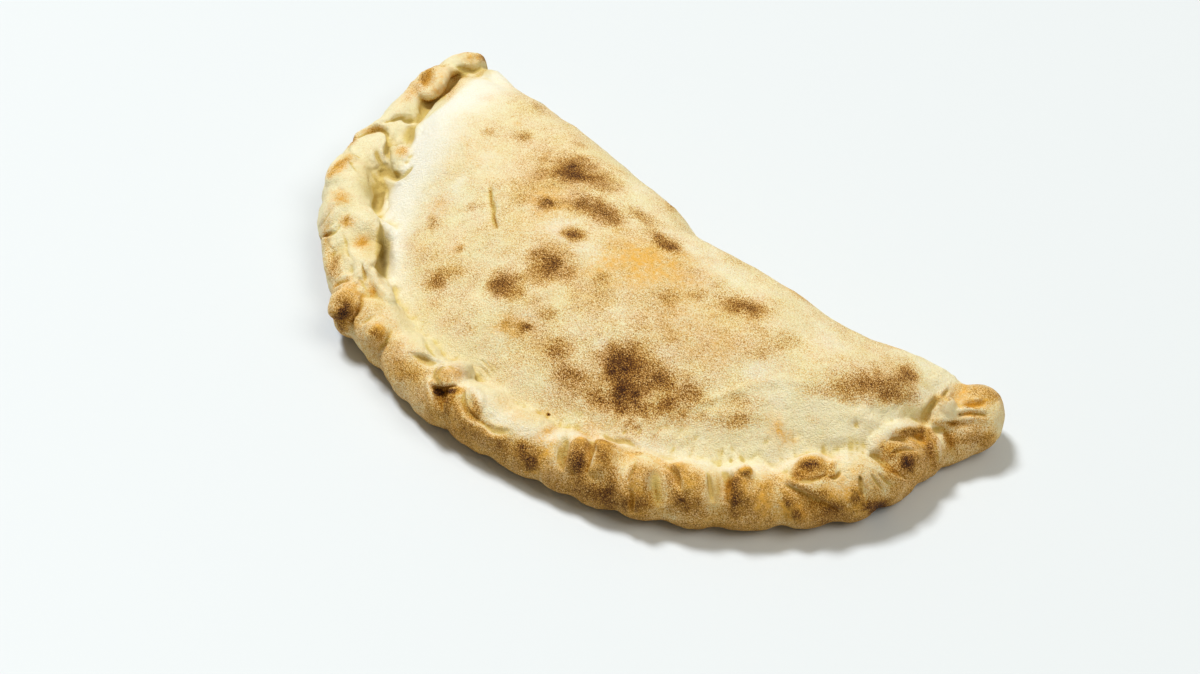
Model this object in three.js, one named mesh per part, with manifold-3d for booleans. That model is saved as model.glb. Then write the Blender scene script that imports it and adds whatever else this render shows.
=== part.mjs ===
// A calzone: one folded, sealed and baked half-moon of pizza dough, as one solid.
// Millimetres. +X runs along the fold from the left tip to the right tip, +Y towards the folded
// back edge, +Z up. The calzone rests on z = 0, with the origin under the middle of its box.
import * as THREE from "three";
import { ParametricGeometry } from "three/addons/geometries/ParametricGeometry.js";
import { mergeVertices } from "three/addons/utils/BufferGeometryUtils.js";
import Module from "manifold-3d";

const wasm = await Module();
wasm.setup();

// ---- Driving dimensions -------------------------------------------------------------------

// The rolled rim, from the left tip round the front to the right tip.
// Each station is the middle of the roll in plan (x, y) and the roll's radius. In plan the tables
// are measured from the middle of the straight line between the two tips.
const RIM = [
  [-145, 1, 9],
  [-144, -11, 9.5],
  [-141, -23, 9.5],
  [-134, -46, 10.5],
  [-130, -65, 11],
  [-118, -84, 12],
  [-101, -101, 12],
  [-85, -112, 11.5],
  [-66, -125, 12],
  [-40, -132.5, 11.5],
  [-9, -137.5, 12],
  [23, -135.5, 12],
  [49, -130, 12],
  [74, -121.5, 12.5],
  [102, -100, 12.5],
  [119, -81, 12],
  [130, -59, 12.5],
  [132, -35, 10],
  [134, -19, 10.5],
  [137, -5, 11],
];

// The outermost line of the folded back edge in plan, from the left tip to the right tip.
const FOLD = [
  [-145, 3],
  [-134, 8],
  [-116, 9],
  [-98, 6],
  [-81, 3],
  [-50, -3],
  [-20, -9],
  [-1, -12.5],
  [15, -18.5],
  [35, -17],
  [61, -13],
  [77, -13],
  [92, -7.5],
  [110, 1],
  [126, 5],
  [137, -1],
];

// Height of the puffed top along its crest. Stations run from the left tip (0) to the right (1).
const CREST = [
  [0, 16],
  [0.09, 28],
  [0.19, 37],
  [0.33, 43],
  [0.5, 46],
  [0.645, 45],
  [0.785, 39],
  [0.86, 35],
  [0.93, 29],
  [1, 17],
];

// Height of the top sheet where it is sealed under the roll, at the same kind of station.
const SEAL = [
  [0, 8],
  [0.1, 3],
  [0.25, 4],
  [0.38, 11],
  [0.47, 14],
  [0.7, 15],
  [0.85, 17],
  [0.94, 18],
  [1, 9],
];

const CREST_BACK = 38; // from the fold to the crest, where the calzone is wide
const CREST_SHARE = 0.4; // the same as a share of the width, where it is narrow
const NOSE = 25; // how far in from the fold the top rounds over
const HEEL = 13; // how far in from the fold the underside rounds up
const NOSE_LEVEL = 0.4; // height of the fold's outermost line, as a share of the top's height

// Soft swells and hollows of the top sheet: x, y, radius, rise.
const SWELLS = [
  [-92, -50, 30, 2.5],
  [-30, -60, 34, 2],
  [25, -52, 28, 2],
  [72, -48, 26, 2],
  [108, -46, 26, 5],
  [122, -30, 16, 3],
  [52, -96, 22, -2],
  [-10, -104, 24, 2],
  [-62, -84, 22, -2],
  [-36, -108, 16, -1.5],
];

// Pinches between the bulges of the roll, as shares of the rim's length from the left tip.
const PINCHES = [
  0.045, 0.09, 0.135, 0.18, 0.225, 0.27, 0.305, 0.34, 0.38, 0.43, 0.475, 0.515, 0.561, 0.607, 0.636, 0.673, 0.709,
  0.75, 0.8, 0.84, 0.875, 0.915, 0.952,
];
const PINCH_DEPTH = 0.15; // how much a pinch narrows the roll
const PINCH_WIDTH = 3.2;

// Lobes of folded dough pressed on to the roll. Each has its middle, its half sizes (long,
// across, up), its heading in plan and the tilt of its long axis, both in degrees.
const FOLDS = [
  { name: "left tip knob", at: [-145, 3, 17], half: [13, 8, 8], heading: 60, tilt: 10 },
  { name: "left tip curl", at: [-144, -16, 17], half: [12, 7, 8], heading: 100, tilt: -12 },
  { name: "left ridge", at: [-139, -38, 15], half: [16, 8, 8], heading: 108, tilt: 0 },
  { name: "button", at: [-114, -62, 18], half: [7, 6, 6], heading: 30, tilt: 0 },
  { name: "upper left flap", at: [-127, -66, 16], half: [13, 8.5, 8], heading: 115, tilt: 5 },
  { name: "pale lobe", at: [-114, -88, 14], half: [16, 11, 11], heading: 130, tilt: 0 },
  { name: "three-cornered flap", at: [-91, -102, 17], half: [13, 8, 8], heading: 35, tilt: 12 },
  { name: "left bulge", at: [-93, -109, 12], half: [14, 9, 9], heading: 145, tilt: 0 },
  { name: "inner strip", at: [-62, -121, 18], half: [17, 5.5, 6], heading: 150, tilt: 8 },
  { name: "big browned knob", at: [-62.5, -131, 12], half: [12, 9, 10], heading: 120, tilt: -12 },
  { name: "small browned knob", at: [-43, -135, 16], half: [9, 7.5, 8], heading: 120, tilt: 20 },
  { name: "front knuckle", at: [-3, -134, 17], half: [8.5, 6.5, 6.5], heading: 10, tilt: 0 },
  { name: "tucked corner", at: [0, -142, 14], half: [9, 6, 8], heading: 70, tilt: 15 },
  { name: "tucked fold", at: [10, -136, 16], half: [10, 5, 6], heading: 120, tilt: 0 },
  { name: "browned nub", at: [104, -97, 22], half: [4, 4, 4], heading: 0, tilt: 0 },
  { name: "oval lobe", at: [116, -77, 18.5], half: [12, 7, 6.5], heading: 60, tilt: 0 },
  { name: "ear", at: [132, -48, 15], half: [15, 11, 11], heading: 75, tilt: 0 },
  { name: "neck bead", at: [131, -20, 20], half: [6, 5, 5], heading: 0, tilt: 0 },
  { name: "right tip knob", at: [136, -6, 13], half: [15, 12, 12], heading: 110, tilt: 8 },
];

const FLOOR_TRIM = 1.2; // depth cut level under the calzone, which gives the flat it rests on

// How finely the solids are faceted.
const BODY_ALONG = 68;
const TOP_STRIPS = 20;
const UNDER_STRIPS = 6;
const ROLL_ALONG = 144;
const ROLL_AROUND = 16;
const LOBE_SIDES = 12;
const LOBE_RINGS = 9;

// ---- Curves and profiles ------------------------------------------------------------------

const smoothCurve = (points) =>
  new THREE.CatmullRomCurve3(points.map(([x, y, z = 0]) => new THREE.Vector3(x, y, z)));

const rimCurve = smoothCurve(RIM);
const foldCurve = smoothCurve(FOLD);

// Straight-line interpolation in a list of [share, value] stations.
function along(stations, share) {
  const next = Math.max(1, stations.findIndex((s) => s[0] >= share));
  const [a, low] = stations[next - 1];
  const [b, high] = stations[next];
  return THREE.MathUtils.mapLinear(share, a, b, low, high);
}

// A quarter of an ellipse: 0 at the edge, 1 at the given distance in and beyond.
const roundOver = (distance, reach) => {
  const short = 1 - Math.min(distance / reach, 1);
  return Math.sqrt(1 - short * short);
};

function swell(x, y) {
  return SWELLS.reduce((sum, [cx, cy, radius, rise]) => {
    const share = Math.min(Math.hypot(x - cx, y - cy) / radius, 1);
    return sum + rise * (1 - share * share) ** 2;
  }, 0);
}

// Heights of the filled body on the line across it at a station, from the fold to the rim.
function acrossBody(station, width, fromFold, x, y) {
  const crestBack = Math.min(CREST_BACK, CREST_SHARE * width);
  const fall = Math.max(fromFold - crestBack, 0) / (width - crestBack);
  const seal = along(SEAL, station);
  const full = seal + (along(CREST, station) - seal) * Math.cos((fall * Math.PI) / 2) + swell(x, y);
  const level = NOSE_LEVEL * full;
  const half = width / 2;
  return {
    top: level + (full - level) * roundOver(fromFold, Math.min(NOSE, half)),
    bottom: level * (1 - roundOver(fromFold, Math.min(HEEL, half))),
  };
}

// ---- Solids -------------------------------------------------------------------------------

// A closed surface made by a function of (u, v), as a manifold-3d solid.
function solidOf(geometry) {
  geometry.deleteAttribute("normal");
  geometry.deleteAttribute("uv");
  const merged = mergeVertices(geometry, 1e-3);
  const corners = merged.index.array;
  const kept = [];
  for (let i = 0; i < corners.length; i += 3) {
    const [a, b, c] = corners.slice(i, i + 3);
    if (a !== b && b !== c && c !== a) kept.push(a, b, c);
  }
  const vertProperties = merged.attributes.position.array;
  const made = (triVerts) => new wasm.Manifold(new wasm.Mesh({ numProp: 3, vertProperties, triVerts }));
  const solid = made(Uint32Array.from(kept));
  return solid.volume() > 0 ? solid : made(Uint32Array.from(kept.reverse()));
}

// The filled body, as closed sections that each cross from the fold to the middle of the roll.
// They fan out from the left tip and in again to the right tip, where they close to a point.
function filledBody() {
  const strips = TOP_STRIPS + UNDER_STRIPS;
  const fold = new THREE.Vector3();
  const rim = new THREE.Vector3();
  return new ParametricGeometry(
    (u, v, target) => {
      rimCurve.getPointAt(u, rim);
      if (u === 0 || u === 1) {
        target.copy(rim);
        return;
      }
      foldCurve.getPointAt(u, fold);
      const strip = Math.round(v * strips);
      const onTop = strip <= TOP_STRIPS;
      const share = onTop ? (strip / TOP_STRIPS) ** 1.5 : ((strips - strip) / UNDER_STRIPS) ** 1.5;
      const width = Math.hypot(rim.x - fold.x, rim.y - fold.y);
      const x = THREE.MathUtils.lerp(fold.x, rim.x, share);
      const y = THREE.MathUtils.lerp(fold.y, rim.y, share);
      const { top, bottom } = acrossBody(u, width, share * width, x, y);
      target.set(x, y, onTop ? top : bottom);
    },
    BODY_ALONG,
    strips,
  );
}

// How much the pinches narrow the roll at a share of its length.
function pinched(share) {
  const nearest = rimCurve.getLength() * Math.min(...PINCHES.map((p) => Math.abs(p - share)));
  return 1 - PINCH_DEPTH * Math.exp(-((nearest / PINCH_WIDTH) ** 2));
}

// The rolled rim: round sections set across its path, closing to a point past each end.
function rolledRim() {
  const total = rimCurve.getLength();
  const centre = new THREE.Vector3();
  const tangent = new THREE.Vector3();
  return new ParametricGeometry(
    (u, v, target) => {
      const reach = (1 - Math.cos(Math.PI * u)) / 2;
      const eased = THREE.MathUtils.lerp(reach, u, 0.9);
      rimCurve.getPointAt(eased, centre);
      rimCurve.getTangentAt(eased, tangent);
      const radius = centre.z * pinched(eased);
      const toEnd = Math.min(eased, 1 - eased) * total;
      const section = radius * roundOver(toEnd, radius);
      const turn = 2 * Math.PI * v;
      const across = section * Math.cos(turn);
      const norm = Math.hypot(tangent.x, tangent.y);
      target.set(
        centre.x + (across * tangent.y) / norm,
        centre.y - (across * tangent.x) / norm,
        centre.z + section * Math.sin(turn),
      );
    },
    ROLL_ALONG,
    ROLL_AROUND,
  );
}

function lobe({ at, half, heading, tilt }) {
  const { degToRad } = THREE.MathUtils;
  const turn = new THREE.Euler(0, -degToRad(tilt), degToRad(heading), "ZYX");
  const place = new THREE.Matrix4().compose(
    new THREE.Vector3(...at),
    new THREE.Quaternion().setFromEuler(turn),
    new THREE.Vector3(...half),
  );
  return new THREE.SphereGeometry(1, LOBE_SIDES, LOBE_RINGS).applyMatrix4(place);
}

// Everything under the floor plane, as a slab to cut away.
function underFloor() {
  return new THREE.BoxGeometry(400, 300, 40).translate(0, -75, FLOOR_TRIM - 20);
}

const pieces = [filledBody(), rolledRim(), ...FOLDS.map(lobe)].map(solidOf);
const dough = pieces.reduce((joined, piece) => joined.add(piece));
const trimmed = dough.subtract(solidOf(underFloor()));
const { min, max } = trimmed.boundingBox();
const centred = trimmed.translate([-(min[0] + max[0]) / 2, -(min[1] + max[1]) / 2, -min[2]]);

function meshOf(solid, name, material) {
  const { vertProperties, triVerts } = solid.getMesh();
  const geometry = new THREE.BufferGeometry();
  geometry.setAttribute("position", new THREE.BufferAttribute(vertProperties, 3));
  geometry.setIndex(new THREE.BufferAttribute(triVerts, 1));
  geometry.computeVertexNormals();
  const mesh = new THREE.Mesh(geometry, material);
  mesh.name = name;
  return mesh;
}

const crust = new THREE.MeshStandardMaterial({ color: "#e8c78c", roughness: 0.85, metalness: 0 });

const calzone = new THREE.Group();
calzone.add(meshOf(centred, "calzone", crust));

export default calzone;
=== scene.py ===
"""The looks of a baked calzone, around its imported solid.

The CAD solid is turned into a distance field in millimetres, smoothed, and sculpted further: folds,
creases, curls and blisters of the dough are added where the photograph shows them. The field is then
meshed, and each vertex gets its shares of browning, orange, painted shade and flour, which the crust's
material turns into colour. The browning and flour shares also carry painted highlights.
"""

import math

import bpy
import numpy as np
import openvdb as vdb
from mathutils import Matrix, Vector


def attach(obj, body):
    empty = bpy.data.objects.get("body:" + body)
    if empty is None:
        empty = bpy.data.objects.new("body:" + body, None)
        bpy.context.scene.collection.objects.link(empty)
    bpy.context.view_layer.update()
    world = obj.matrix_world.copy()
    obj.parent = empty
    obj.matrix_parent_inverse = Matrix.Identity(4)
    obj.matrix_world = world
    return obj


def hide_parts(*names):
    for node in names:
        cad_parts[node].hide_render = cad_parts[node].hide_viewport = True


MM = 0.001
TINY = 1e-9  # keeps a divisor away from zero

# ---- The photograph's camera, in millimetres and radians ----

PHOTO_SIZE = (1200, 674)
LENS_MM = 75.0
SENSOR_MM = 36.0
LOOK_AT = np.array([5.2, 4.1, 0.0])
DISTANCE = 962.9
AZIMUTH = math.radians(41.93)
ELEVATION = math.radians(41.26)
ROLL = math.radians(3.47)

LEVEL_RIGHT = np.array([math.cos(AZIMUTH), math.sin(AZIMUTH), 0.0])
LEVEL_AHEAD = np.array([-math.sin(AZIMUTH), math.cos(AZIMUTH), 0.0])
FORWARD = math.cos(ELEVATION) * LEVEL_AHEAD - np.array([0.0, 0.0, math.sin(ELEVATION)])
LEVEL_UP = np.cross(LEVEL_RIGHT, FORWARD)
RIGHT = math.cos(ROLL) * LEVEL_RIGHT + math.sin(ROLL) * LEVEL_UP
UP = -math.sin(ROLL) * LEVEL_RIGHT + math.cos(ROLL) * LEVEL_UP
EYE = LOOK_AT - DISTANCE * FORWARD
FOCAL_PX = LENS_MM / SENSOR_MM * PHOTO_SIZE[0]


def ray_through(pixel):
    """Direction from the camera through a pixel of the photograph."""
    across = (pixel[0] - PHOTO_SIZE[0] / 2) / FOCAL_PX
    upward = (PHOTO_SIZE[1] / 2 - pixel[1]) / FOCAL_PX
    direction = FORWARD + RIGHT * across + UP * upward
    return direction / np.linalg.norm(direction)


def pixels_of(points):
    """Where points show in the photograph."""
    offset = points - EYE
    depth = offset @ FORWARD
    across = PHOTO_SIZE[0] / 2 + FOCAL_PX * (offset @ RIGHT) / depth
    down = PHOTO_SIZE[1] / 2 - FOCAL_PX * (offset @ UP) / depth
    return np.stack([across, down], 1)


# ---- Shares, steps and noise ----


def eased(share):
    """A share from 0 to 1 that starts and ends gently."""
    return share * share * (3 - 2 * share)


def smooth_step(start, end, value):
    """0 up to the start, 1 from the end on, and eased between them. The end may be the lower one."""
    return eased(np.clip((value - start) / (end - start), 0, 1))


def plateau(value, start, full, fading, end):
    """0 outside the start and the end, 1 from full to fading, and eased between them."""
    return smooth_step(start, full, value) * smooth_step(end, fading, value)


def bell(value):
    """1 at 0, falling to almost nothing by 2 on both sides."""
    return np.exp(-(value**2))


def taper(share, power):
    """1 in the middle of a line and 0 at its ends, which are blunter the lower the power."""
    return np.sin(np.pi * np.clip(share, 0, 1)) ** power


def along(stations, share):
    """Straight-line interpolation in a list of (share, value) stations."""
    return np.interp(share, *np.array(stations).T)


def smooth_min(a, b, blend):
    """The lower of two distances, with the corner between them rounded."""
    share = np.clip(0.5 + 0.5 * (b - a) / blend, 0, 1)
    return b * (1 - share) + a * share - blend * share * (1 - share)


def between_cells(base, share, value_at):
    """Values at places in a lattice: their cell's first corner and the share of the cell past it."""
    total = np.zeros(len(base))
    for corner in np.ndindex(2, 2, 2):
        weight = np.prod(np.where(corner, share, 1 - share), axis=1)
        total += weight * value_at(tuple((base + corner).T))
    return total


def point_noise(points, spacing, seed):
    """Smooth noise between about -1 and 1 at some points, which changes over a spacing."""
    count = 64
    lattice = np.random.default_rng(seed).uniform(-1, 1, (count,) * 3)
    place = points / spacing
    base = np.floor(place).astype(int)
    return between_cells(base, eased(place - base), lambda at: lattice[tuple(v % count for v in at)])


def layered_noise(points, spacing, seed, layers=3):
    """Noise with finer and weaker layers on top."""
    return sum(point_noise(points, spacing / 2**k, seed + k) / 2**k for k in range(layers)) / 1.5


def grid_noise(shape, spacing, rng):
    """Smooth noise between about -1 and 1 on a grid of that shape, with its spacing in voxels."""
    sizes = [int(n / spacing) + 3 for n in shape]
    noise = rng.uniform(-1, 1, sizes).astype(np.float32)
    for axis, count in enumerate(shape):
        place = np.arange(count) / spacing
        low = place.astype(int)
        form = [1, 1, 1]
        form[axis] = count
        share = eased(place - low).astype(np.float32).reshape(form)
        noise = np.take(noise, low, axis) * (1 - share) + np.take(noise, low + 1, axis) * share
    return noise


# ---- Lines through points ----


def rounded(points, steps=4):
    """A smooth line through a few points, with more points along it."""
    points = np.asarray(points, float)
    if len(points) < 3:
        return points
    ends = np.vstack([2 * points[0] - points[1], points, 2 * points[-1] - points[-2]])
    line = []
    for before, a, b, after in zip(ends[:-3], ends[1:-2], ends[2:-1], ends[3:]):
        for t in np.arange(steps) / steps:
            bend = (2 * before - 5 * a + 4 * b - after) * t**2
            twist = (3 * a - before - 3 * b + after) * t**3
            line.append(0.5 * (2 * a + (b - before) * t + bend + twist))
    line.append(points[-1])
    return np.array(line)


def follow(path, place, sideways=None):
    """How far places are from a path, the share of its length there, and how far to its side.

    The places are given as one array for each axis. Sideways holds one direction for each of the
    path's stretches.
    """
    nearest = np.float32(np.inf)
    share = np.float32(0)
    beside = np.float32(0)
    count = len(path) - 1
    for k, (start, end) in enumerate(zip(path[:-1], path[1:])):
        stretch = end - start
        offset = [v - s for v, s in zip(place, start)]
        t = sum(o * d for o, d in zip(offset, stretch)) / max(stretch @ stretch, TINY)
        t = np.clip(t, 0, 1)
        offset = [o - t * d for o, d in zip(offset, stretch)]
        away = sum(o * o for o in offset)
        closer = away < nearest
        nearest = np.where(closer, away, nearest)
        share = np.where(closer, (k + t) / count, share)
        if sideways is not None:
            beside = np.where(closer, sum(o * s for o, s in zip(offset, sideways[k])), beside)
    return np.sqrt(nearest), share, beside


# ---- Dough as a distance field, in millimetres ----

VOXEL = 0.5  # the grid's spacing in millimetres
BAND = 7.0  # how far from the surface the field is known
SPARE = 2  # voxels kept free round the solid
RELIEF = 1.35  # all folds and creases together, stronger or weaker
CLEAR_HEIGHT = 60  # above the whole calzone
SIGHT_STEP = 0.3  # between the places looked at along a line of sight
SHINGLE_EDGE = 0.55  # half the width of a fold's crisp edge


def blurred(field, radius):
    """The field blurred by a Gaussian, cut off at three times its radius."""
    sigma = radius / VOXEL
    reach = max(1, int(math.ceil(3 * sigma)))
    weights = np.exp(-0.5 * (np.arange(-reach, reach + 1) / sigma) ** 2)
    weights /= weights.sum()
    for axis in range(3):
        margins = [(reach, reach) if a == axis else (0, 0) for a in range(3)]
        padded = np.pad(field, margins, "edge")
        total = np.zeros_like(field)
        for k, weight in enumerate(weights):
            window = [slice(None)] * 3
            window[axis] = slice(k, k + field.shape[axis])
            total += np.float32(weight) * padded[tuple(window)]
        field = total
    return field


def vertices_of(mesh):
    """A mesh's vertices as rows of coordinates, in metres."""
    points = np.empty(len(mesh.vertices) * 3, np.float32)
    mesh.vertices.foreach_get("co", points)
    return points.reshape(-1, 3)


class Dough:
    """A solid held as signed distances on a grid, negative inside."""

    def __init__(self, solid):
        mesh = solid.data
        mesh.calc_loop_triangles()
        corners = np.empty(len(mesh.loop_triangles) * 3, np.int32)
        mesh.loop_triangles.foreach_get("vertices", corners)
        self.space = vdb.createLinearTransform(voxelSize=VOXEL)
        grid = vdb.FloatGrid.createLevelSetFromPolygons(
            vertices_of(mesh) / MM,
            triangles=corners.reshape(-1, 3).astype(np.uint32),
            transform=self.space,
            halfWidth=BAND / VOXEL,
        )
        low, high = (np.array(corner) for corner in grid.evalActiveVoxelBoundingBox())
        self.low = low - SPARE
        self.field = np.zeros(tuple(high + SPARE + 1 - self.low), np.float32)
        grid.copyToArray(self.field, ijk=tuple(int(v) for v in self.low))
        self.axes = [(self.low[a] + np.arange(self.field.shape[a])) * VOXEL for a in range(3)]

    def window(self, points, reach):
        """The part of the grid around some points: its slices and its coordinates as an open mesh."""
        first = np.floor((points.min(0) - reach) / VOXEL).astype(int) - self.low
        last = np.ceil((points.max(0) + reach) / VOXEL).astype(int) - self.low + 1
        bounds = zip(first, last, self.field.shape)
        part = tuple(slice(max(int(a), 0), min(int(b), n)) for a, b, n in bounds)
        return part, np.meshgrid(*(v[s] for v, s in zip(self.axes, part)), indexing="ij", sparse=True)

    def sample(self, points, field=None):
        """The field at some points, between the grid's values."""
        field = self.field if field is None else field
        just_inside = np.array(field.shape) - 1.001
        place = np.clip(points / VOXEL - self.low, 0, just_inside)
        base = place.astype(int)
        return between_cells(base, place - base, lambda at: field[at])

    def normal(self, points, step=1.2):
        """The surface's outward direction near some points."""
        slopes = [self.sample(points + step * e) - self.sample(points - step * e) for e in np.eye(3)]
        slopes = np.stack(slopes, 1)
        return slopes / np.maximum(np.linalg.norm(slopes, axis=1, keepdims=True), TINY)

    def seen_at(self, pixels):
        """Where lines of sight through the photograph's pixels meet the dough, or pass closest."""
        hits = []
        for pixel in pixels:
            direction = ray_through(pixel)
            start = (CLEAR_HEIGHT - EYE[2]) / direction[2]
            end = -EYE[2] / direction[2]
            path = EYE + np.arange(start, end, SIGHT_STEP)[:, None] * direction
            away = self.sample(path)
            inside = np.nonzero(away < 0)[0]
            hits.append(path[inside[0] if len(inside) else np.argmin(away)])
        return np.array(hits)

    def carve(self, pixels, width, depth, puff=0.0):
        """Presses a crease along a line seen in the photograph, tapering out, between puffed sides."""
        path = rounded(self.seen_at(pixels))
        part, place = self.window(path, 4 * width)
        away, share, _ = follow(path, place)
        fade = taper(share, 0.8)
        narrowed = width * (0.5 + 0.5 * fade)
        crease = np.exp(-((away / narrowed) ** 1.3))
        side_distance, side_width = 2.3 * width, 1.2 * width
        sides = bell((away - side_distance) / side_width)
        raised = puff * min(abs(depth), 2.0)
        self.field[part] += (RELIEF * fade * (depth * crease - raised * sides)).astype(np.float32)

    def raise_ridge(self, pixels, radius, proud, blend=1.3):
        """Lays a roll of dough along a line seen in the photograph, standing proud of the surface."""
        hits = rounded(self.seen_at(pixels))
        path = hits - self.normal(hits) * (radius - RELIEF * proud)
        part, place = self.window(path, radius + blend + VOXEL)
        away, share, _ = follow(path, place)
        thinned = radius * (0.55 + 0.45 * taper(share, 0.5))
        self.field[part] = smooth_min(self.field[part], (away - thinned).astype(np.float32), blend)

    def shingle(self, pixels, height, width):
        """Lifts the dough on the right of a line seen in the photograph: a crisp edge, then a slope."""
        path = rounded(self.seen_at(pixels))
        outward = self.normal(path)
        right = np.cross(np.diff(path, axis=0), outward[:-1] + outward[1:])
        right /= np.maximum(np.linalg.norm(right, axis=1, keepdims=True), TINY)
        part, place = self.window(path, 2 * width)
        away, share, lateral = follow(path, place, right)
        end_width = 0.7 * width + 1.5
        past_end = np.maximum(away**2 - lateral**2, 0) / end_width**2
        tall = RELIEF * height * taper(share, 0.6) * np.exp(-past_end)
        slope = bell(np.maximum(lateral, 0) / width) * smooth_step(-SHINGLE_EDGE, SHINGLE_EDGE, lateral)
        foot = 0.35 * bell((lateral + SHINGLE_EDGE) / SHINGLE_EDGE)
        self.field[part] -= (tall * (slope - foot)).astype(np.float32)

    def swell(self, pixel, radius, rise):
        """Puffs the surface up, or presses it in, round a point seen in the photograph."""
        centre = self.seen_at([pixel])
        part, place = self.window(centre, 2.5 * radius)
        square = sum((v - c) ** 2 for v, c in zip(place, centre[0])) / radius**2
        self.field[part] -= (rise * np.exp(-square)).astype(np.float32)

    def mesh(self, adaptivity):
        """The surface as vertices and faces, with its faces pointing out."""
        grid = vdb.FloatGrid(BAND)
        grid.transform = self.space
        grid.copyFromArray(self.field, ijk=tuple(int(v) for v in self.low), tolerance=0.0)
        points, triangles, quads = grid.convertToPolygons(isovalue=0.0, adaptivity=adaptivity)
        faces = [tuple(int(i) for i in face[::-1]) for face in [*triangles, *quads]]
        return points.astype(float), faces


# ---- Folds, creases and blisters, by pixels of the photograph ----

# Rolls of dough: the pixels along the roll, its radius and how proud it stands, in millimetres.
RIDGES = [
    # left tip: knob, slope behind it, curled ribbon with its thin lip, and the roll down from it
    ([(457, 59), (467, 57), (476, 60)], 3.8, 1.3),
    ([(484, 72), (497, 79), (514, 90)], 5.0, 1.8),
    ([(432, 71), (441, 69), (453, 68)], 2.6, 1.2),
    ([(429, 71), (423, 76), (421, 86)], 1.4, 1.0),
    ([(412, 84), (406, 96), (397, 109), (387, 119)], 4.0, 1.0),
    # left rim: blob beside the seam, narrow folds and the round knob
    ([(396, 153), (401, 158), (401, 167)], 5.2, 4.0),
    ([(324, 232), (333, 224), (342, 214)], 2.0, 1.2),
    ([(331, 248), (330, 262), (334, 276)], 3.6, 1.8),
    ([(357, 262), (360, 270), (358, 280)], 1.8, 1.6),
    ([(367, 266), (375, 277), (383, 290), (389, 302)], 3.0, 2.6),
    ([(346, 292), (344, 306), (344, 322)], 7.4, 4.0),
    ([(371, 326), (376, 334), (375, 344)], 4.4, 2.8),
    # front left: pinched knot, the sides of its burnt hole and the fold inside the roll
    ([(455, 374), (463, 370), (471, 373)], 4.8, 3.2),
    ([(429, 384), (432, 396), (434, 408)], 1.5, 1.3),
    ([(458, 389), (452, 400), (449, 411)], 1.6, 1.4),
    ([(473, 390), (479, 402), (479, 414)], 2.2, 1.6),
    # front: brown pleats of the roll
    ([(580, 438), (581, 455), (580, 476)], 4.0, 2.0),
    ([(602, 446), (607, 462), (613, 488)], 3.4, 1.6),
    ([(645, 466), (643, 484), (646, 507)], 3.2, 1.0),
    ([(692, 470), (698, 486), (700, 506)], 3.6, 1.0),
    ([(739, 474), (745, 471), (750, 474)], 2.8, 1.8),
    # right: side of the hollow, oval lobe, ear, pale strip beside it
    ([(782, 487), (788, 500), (797, 515), (804, 526)], 2.8, 1.4),
    ([(798, 470), (811, 466), (824, 465)], 5.0, 2.4),
    ([(829, 470), (837, 470)], 3.2, 1.4),
    (
        [(874, 449), (879, 440), (889, 434), (902, 430), (917, 430), (927, 437), (933, 449), (934, 464)],
        3.3,
        2.3,
    ),
    ([(935, 433), (941, 446), (942, 461)], 2.0, 0.6),
    # right tip: pale lobe, strip below it, lip and the round end
    ([(938, 411), (945, 408), (952, 409)], 4.2, 2.8),
    ([(930, 424), (943, 419), (957, 418)], 1.8, 1.0),
    ([(956, 412), (968, 409), (984, 411)], 1.3, 0.8),
    ([(955, 420), (969, 418), (985, 421)], 1.1, 0.6),
    ([(962, 395), (982, 393), (995, 406), (996, 428)], 5.0, 1.2),
]

# The curled ribbon in front of the left tip, laid over its groove, in the same form.
CURL = ([(455, 71), (446, 73), (440, 81), (437, 88), (429, 94), (421, 93)], 3.0, 2.6)

# Edges of folds that overlap their neighbours: the pixels along the edge with the lifted dough on
# the right, its height and how far it slopes back, in millimetres.
SHINGLES = [
    # left rim
    ([(389, 144), (388, 134), (377, 131), (364, 135), (355, 140)], 2.6, 6),
    ([(326, 188), (332, 173), (343, 161), (350, 157), (360, 160)], 3.0, 9),
    ([(332, 200), (343, 205), (352, 210), (365, 213), (374, 217), (381, 224)], 3.6, 9),
    ([(380, 221), (378, 236), (377, 250), (376, 262), (370, 272)], 3.4, 7),
    ([(361, 347), (358, 333), (357, 320), (361, 308), (363, 296)], 2.4, 5),
    ([(412, 116), (400, 117), (388, 121), (378, 128)], 1.6, 5),
    # front left
    ([(448, 369), (434, 362), (422, 357), (408, 353)], 1.3, 5),
    ([(447, 388), (439, 383), (437, 375), (440, 369), (448, 365)], 2.2, 5),
    ([(458, 386), (445, 386), (431, 386)], 1.3, 3),
    ([(457, 394), (462, 410), (471, 419), (482, 425), (492, 431), (510, 433)], 1.5, 5),
    # front pleats
    ([(565, 470), (567, 455), (569, 440)], 1.8, 4),
    ([(588, 474), (593, 459), (596, 443)], 3.0, 4),
    ([(628, 488), (633, 474), (638, 461)], 1.2, 3.5),
    ([(683, 493), (681, 479), (675, 470), (667, 464)], 1.9, 3.5),
    ([(714, 502), (712, 486), (709, 470)], 1.3, 4),
    ([(732, 508), (729, 492), (734, 476)], 1.4, 5),
    # right
    ([(842, 510), (828, 503), (812, 495), (797, 488), (781, 482)], 2.2, 7),
    ([(858, 458), (873, 465), (885, 470), (895, 475), (907, 481)], 2.4, 8),
]

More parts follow.
